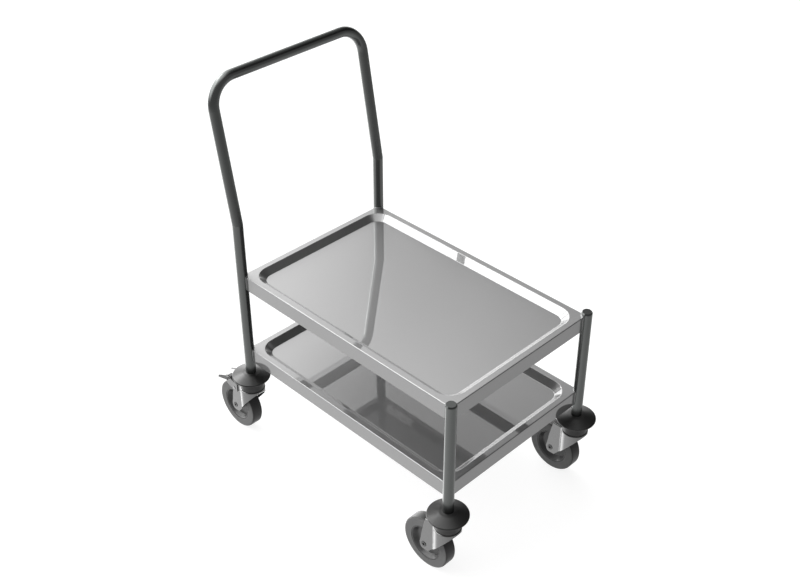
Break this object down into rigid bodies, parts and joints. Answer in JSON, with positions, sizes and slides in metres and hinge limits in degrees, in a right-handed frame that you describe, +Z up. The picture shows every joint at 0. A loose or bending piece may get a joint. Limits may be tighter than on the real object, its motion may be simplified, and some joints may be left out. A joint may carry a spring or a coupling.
{
  "type": "two-tier platform trolley",
  "caption": "Two-tier platform trolley: pressed trays on round tube posts, leaning push bow, swivel casters with bumper discs, foot brakes at the rear.",
  "frame": {"origin": "middle of the whole trolley's box, on the floor", "axes": "+X to the front, away from the push bow; +Y to the left of the person who pushes it; +Z up"},
  "size_m": [0.813, 0.5244, 0.9435],
  "materials": {
    "shelf_steel": "satin sheet steel",
    "deck_board": "fibreboard with a thin bright steel face",
    "tube_steel": "greenish grey coated tube",
    "cap_plastic": "moulded grey plastic",
    "bumper_plastic": "glossy dark grey plastic",
    "cover_steel": "dark coated steel",
    "fork_steel": "zinc plated pressed steel",
    "fastener_steel": "bright plated steel",
    "bearing_steel": "polished bearing steel",
    "wheel_plastic": "moulded grey plastic",
    "tyre_rubber": "grey rubber",
    "expander_rubber": "black rubber",
    "shoe_rubber": "dark hard rubber"
  },
  "bodies": {
    "frame": {"front_left_bumper_disc": "bumper_plastic", "front_left_post": "tube_steel", "front_left_stem": "fastener_steel", "front_left_swivel_balls": "bearing_steel", "front_left_swivel_cover": "cover_steel", "front_left_tube_expander": "expander_rubber", "front_post_caps": "cap_plastic", "front_right_bumper_disc": "bumper_plastic", "front_right_post": "tube_steel", "front_right_stem": "fastener_steel", "front_right_swivel_balls": "bearing_steel", "front_right_swivel_cover": "cover_steel", "front_right_tube_expander": "expander_rubber", "lower_deck_board": "deck_board", "lower_shelf": "shelf_steel", "push_bow": "tube_steel", "rear_left_bumper_disc": "bumper_plastic", "rear_left_post": "tube_steel", "rear_left_stem": "fastener_steel", "rear_left_swivel_balls": "bearing_steel", "rear_left_swivel_cover": "cover_steel", "rear_left_tube_expander": "expander_rubber", "rear_right_bumper_disc": "bumper_plastic", "rear_right_post": "tube_steel", "rear_right_stem": "fastener_steel", "rear_right_swivel_balls": "bearing_steel", "rear_right_swivel_cover": "cover_steel", "rear_right_tube_expander": "expander_rubber", "upper_deck_board": "deck_board", "upper_shelf": "shelf_steel"},
    "front_right_caster": {"front_right_fork": "fork_steel", "front_right_wheel_axle": "fastener_steel", "front_right_axle_sleeve": "fastener_steel"},
    "front_right_wheel": {"front_right_wheel_bearings": "bearing_steel", "front_right_wheel_core": "wheel_plastic", "front_right_tyre": "tyre_rubber"},
    "front_left_caster": {"front_left_fork": "fork_steel", "front_left_wheel_axle": "fastener_steel", "front_left_axle_sleeve": "fastener_steel"},
    "front_left_wheel": {"front_left_wheel_bearings": "bearing_steel", "front_left_wheel_core": "wheel_plastic", "front_left_tyre": "tyre_rubber"},
    "rear_right_caster": {"rear_right_fork": "fork_steel", "rear_right_wheel_axle": "fastener_steel", "rear_right_axle_sleeve": "fastener_steel", "rear_right_brake_pivots": "fastener_steel"},
    "rear_right_wheel": {"rear_right_wheel_bearings": "bearing_steel", "rear_right_wheel_core": "wheel_plastic", "rear_right_tyre": "tyre_rubber"},
    "rear_right_brake": {"rear_right_brake_pedal": "fork_steel", "rear_right_brake_shoe": "shoe_rubber"},
    "rear_left_caster": {"rear_left_fork": "fork_steel", "rear_left_wheel_axle": "fastener_steel", "rear_left_axle_sleeve": "fastener_steel", "rear_left_brake_pivots": "fastener_steel"},
    "rear_left_wheel": {"rear_left_wheel_bearings": "bearing_steel", "rear_left_wheel_core": "wheel_plastic", "rear_left_tyre": "tyre_rubber"},
    "rear_left_brake": {"rear_left_brake_pedal": "fork_steel", "rear_left_brake_shoe": "shoe_rubber"}
  },
  "joints": [
    {"name": "front_right_swivel", "type": "hinge", "parent": "frame", "child": "front_right_caster", "pos_m": [0.3603, -0.216, 0.1425], "axis": [0, 0, 1], "continuous": true},
    {"name": "front_right_wheel_spin", "type": "hinge", "parent": "front_right_caster", "child": "front_right_wheel", "pos_m": [0.309, -0.216, 0.0635], "axis": [0, 1, 0], "continuous": true},
    {"name": "front_left_swivel", "type": "hinge", "parent": "frame", "child": "front_left_caster", "pos_m": [0.3603, 0.216, 0.1425], "axis": [0, 0, 1], "continuous": true},
    {"name": "front_left_wheel_spin", "type": "hinge", "parent": "front_left_caster", "child": "front_left_wheel", "pos_m": [0.309, 0.216, 0.0635], "axis": [0, 1, 0], "continuous": true},
    {"name": "rear_right_swivel", "type": "hinge", "parent": "frame", "child": "rear_right_caster", "pos_m": [-0.2917, -0.216, 0.1425], "axis": [0, 0, 1], "continuous": true},
    {"name": "rear_right_wheel_spin", "type": "hinge", "parent": "rear_right_caster", "child": "rear_right_wheel", "pos_m": [-0.343, -0.216, 0.0635], "axis": [0, 1, 0], "continuous": true},
    {"name": "rear_right_brake_press", "type": "hinge", "parent": "rear_right_caster", "child": "rear_right_brake", "pos_m": [-0.3392, -0.216, 0.1215], "axis": [0, -1, 0], "range_deg": [0, 10]},
    {"name": "rear_left_swivel", "type": "hinge", "parent": "frame", "child": "rear_left_caster", "pos_m": [-0.2917, 0.216, 0.1425], "axis": [0, 0, 1], "continuous": true},
    {"name": "rear_left_wheel_spin", "type": "hinge", "parent": "rear_left_caster", "child": "rear_left_wheel", "pos_m": [-0.343, 0.216, 0.0635], "axis": [0, 1, 0], "continuous": true},
    {"name": "rear_left_brake_press", "type": "hinge", "parent": "rear_left_caster", "child": "rear_left_brake", "pos_m": [-0.3392, 0.216, 0.1215], "axis": [0, -1, 0], "range_deg": [0, 10]}
  ]
}
